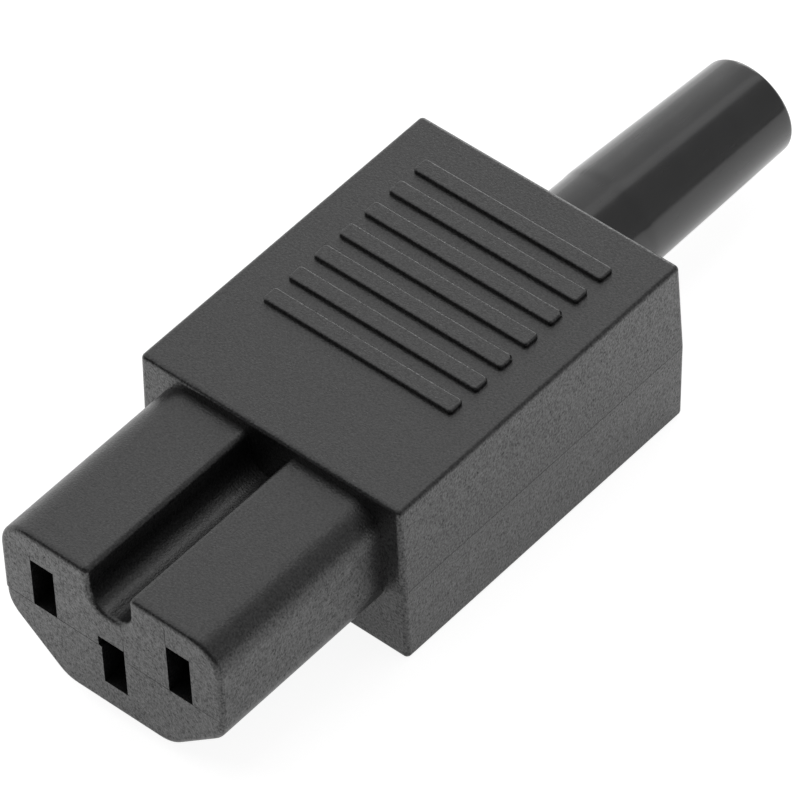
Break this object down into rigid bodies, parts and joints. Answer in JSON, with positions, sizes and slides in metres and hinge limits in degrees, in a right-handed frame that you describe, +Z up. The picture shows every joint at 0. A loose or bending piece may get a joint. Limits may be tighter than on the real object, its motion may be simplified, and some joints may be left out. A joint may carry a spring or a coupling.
{
  "type": "iec power connector",
  "caption": "Rewirable keyed appliance connector: slotted nose with a keyway, ribbed split body holding brass receptacles and a cord clamp, and a soft sleeve for the cord.",
  "frame": {"origin": "in the resting plane, below the middle of the whole outline", "axes": "+X across the pins, +Y from the nose towards the cord, +Z up from the resting face to the ribbed face"},
  "size_m": [0.027, 0.0786, 0.0174],
  "materials": {
    "shell_plastic": "fine spark-eroded satin, black",
    "clamp_plastic": "plain moulded, dark grey",
    "sleeve_plastic": "glossy soft black",
    "contact_brass": "bright stamped brass",
    "screw_steel": "zinc plated"
  },
  "bodies": {
    "root": {"upper_shell": "shell_plastic", "lower_shell": "shell_plastic", "cord_clamp": "clamp_plastic", "cord_sleeve": "sleeve_plastic", "housing_screw": "screw_steel", "housing_screw_insert": "contact_brass", "line_receptacle": "contact_brass", "line_terminal_washer": "screw_steel", "line_terminal_screw": "screw_steel", "neutral_receptacle": "contact_brass", "neutral_terminal_washer": "screw_steel", "neutral_terminal_screw": "screw_steel", "earth_receptacle": "contact_brass", "earth_terminal_washer": "screw_steel", "earth_terminal_screw": "screw_steel", "cord_clamp_screw_left": "screw_steel", "cord_clamp_insert_left": "contact_brass", "cord_clamp_screw_right": "screw_steel", "cord_clamp_insert_right": "contact_brass"}
  },
  "joints": []
}
